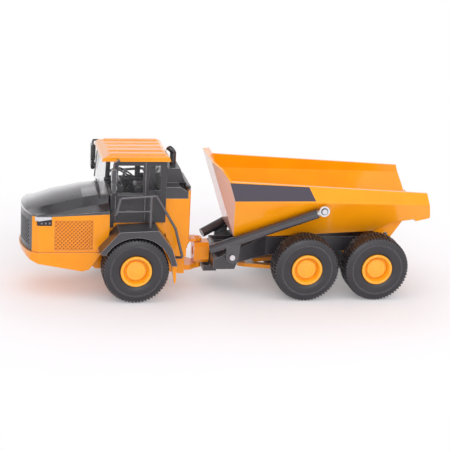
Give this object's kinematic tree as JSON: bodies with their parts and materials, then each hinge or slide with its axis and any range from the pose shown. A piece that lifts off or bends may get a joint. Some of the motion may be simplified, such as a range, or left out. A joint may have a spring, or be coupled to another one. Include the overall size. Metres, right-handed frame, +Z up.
{
  "type": "toy articulated dump truck",
  "caption": "Die-cast toy of an articulated hauler: cab unit on a steering pivot, rear frame on driven axles, and an open tipping bed raised by splayed hoist rods.",
  "frame": {"origin": "middle of the overall box on the floor the tyres stand on", "axes": "+X from the nose to the tail, +Y to the truck's right-hand side seen from above with the nose at -X, +Z up"},
  "size_m": [0.2141, 0.0658, 0.0757],
  "materials": {
    "orange_paint": "satin orange",
    "rim_paint": "satin yellow-orange",
    "charcoal_plastic": "matte",
    "black_plastic": "matte",
    "grey_plastic": "matte",
    "clear_plastic": "clear",
    "lamp_plastic": "bright",
    "silver_metal": "bright",
    "tyre_rubber": "matte"
  },
  "bodies": {
    "front_unit": {"side_panels": "orange_paint", "bumper": "orange_paint", "grille": "black_plastic", "lamps": "lamp_plastic", "hood_cover": "charcoal_plastic", "chassis": "orange_paint", "housing": "orange_paint", "fender_left": "black_plastic", "fender_right": "black_plastic", "steps": "orange_paint", "cab_shell": "black_plastic", "glazing": "clear_plastic", "roof": "orange_paint", "cab_interior": "grey_plastic", "intake_boxes": "black_plastic", "exhaust_stack": "black_plastic", "handrail_left": "black_plastic", "handrail_right": "black_plastic", "mirror_left": "black_plastic", "mirror_right": "black_plastic", "mesh_left": "orange_paint", "mesh_right": "orange_paint"},
    "knuckle": {"knuckle": "orange_paint"},
    "rear_frame": {"rear_frame": "black_plastic", "hoist_rivets": "silver_metal", "suspension_frame": "orange_paint"},
    "bed": {"bed": "orange_paint", "tipping_pin": "silver_metal"},
    "hoist_barrel_left": {"hoist_barrel_left": "black_plastic"},
    "hoist_barrel_right": {"hoist_barrel_right": "black_plastic"},
    "hoist_rod_left": {"hoist_rod_left": "silver_metal"},
    "hoist_rod_right": {"hoist_rod_right": "silver_metal"},
    "wheelset_front": {"rims_front": "rim_paint", "tyre_front_left": "tyre_rubber", "tyre_front_right": "tyre_rubber"},
    "wheelset_middle": {"rims_middle": "rim_paint", "tyre_middle_left": "tyre_rubber", "tyre_middle_right": "tyre_rubber"},
    "wheelset_rear": {"rims_rear": "rim_paint", "tyre_rear_left": "tyre_rubber", "tyre_rear_right": "tyre_rubber"}
  },
  "joints": [
    {"name": "steering", "type": "hinge", "parent": "front_unit", "child": "knuckle", "pos_m": [-0.0132, 0, 0.0184], "axis": [0, 0, 1], "range_deg": [-35, 35]},
    {"name": "frame_swing", "type": "hinge", "parent": "knuckle", "child": "rear_frame", "pos_m": [-0.0018, 0, 0.0184], "axis": [1, 0, 0], "range_deg": [-10, 10]},
    {"name": "bed_tip", "type": "hinge", "parent": "rear_frame", "child": "bed", "pos_m": [0.0859, 0, 0.0315], "axis": [0, 1, 0], "range_deg": [0, 60]},
    {"name": "hoist_swing_left", "type": "hinge", "parent": "rear_frame", "child": "hoist_barrel_left", "pos_m": [0.0027, -0.0188, 0.0206], "axis": [0.5774, 0.5774, -0.5774], "range_deg": [-8, 0]},
    {"name": "hoist_slide_left", "type": "slide", "parent": "hoist_barrel_left", "child": "hoist_rod_left", "axis": [0.8803, -0.2529, 0.4014], "range_m": [0, 0.0417]},
    {"name": "hoist_swing_right", "type": "hinge", "parent": "rear_frame", "child": "hoist_barrel_right", "pos_m": [0.0027, 0.0188, 0.0206], "axis": [-0.5774, 0.5774, 0.5774], "range_deg": [-8, 0]},
    {"name": "hoist_slide_right", "type": "slide", "parent": "hoist_barrel_right", "child": "hoist_rod_right", "axis": [0.8803, 0.2529, 0.4014], "range_m": [0, 0.0417]},
    {"name": "axle_front", "type": "hinge", "parent": "front_unit", "child": "wheelset_front", "pos_m": [-0.0492, 0, 0.0172], "axis": [0, 1, 0], "continuous": true},
    {"name": "axle_middle", "type": "hinge", "parent": "rear_frame", "child": "wheelset_middle", "pos_m": [0.0404, 0, 0.0172], "axis": [0, 1, 0], "continuous": true},
    {"name": "axle_rear", "type": "hinge", "parent": "rear_frame", "child": "wheelset_rear", "pos_m": [0.0781, 0, 0.0172], "axis": [0, 1, 0], "continuous": true}
  ],
  "couplings": [
    {"joint": "hoist_swing_left", "follows": "bed_tip", "ratio": -0.13252},
    {"joint": "hoist_slide_left", "follows": "bed_tip", "m_per_rad": 0.03968},
    {"joint": "hoist_swing_right", "follows": "bed_tip", "ratio": -0.13252},
    {"joint": "hoist_slide_right", "follows": "bed_tip", "m_per_rad": 0.03968}
  ]
}
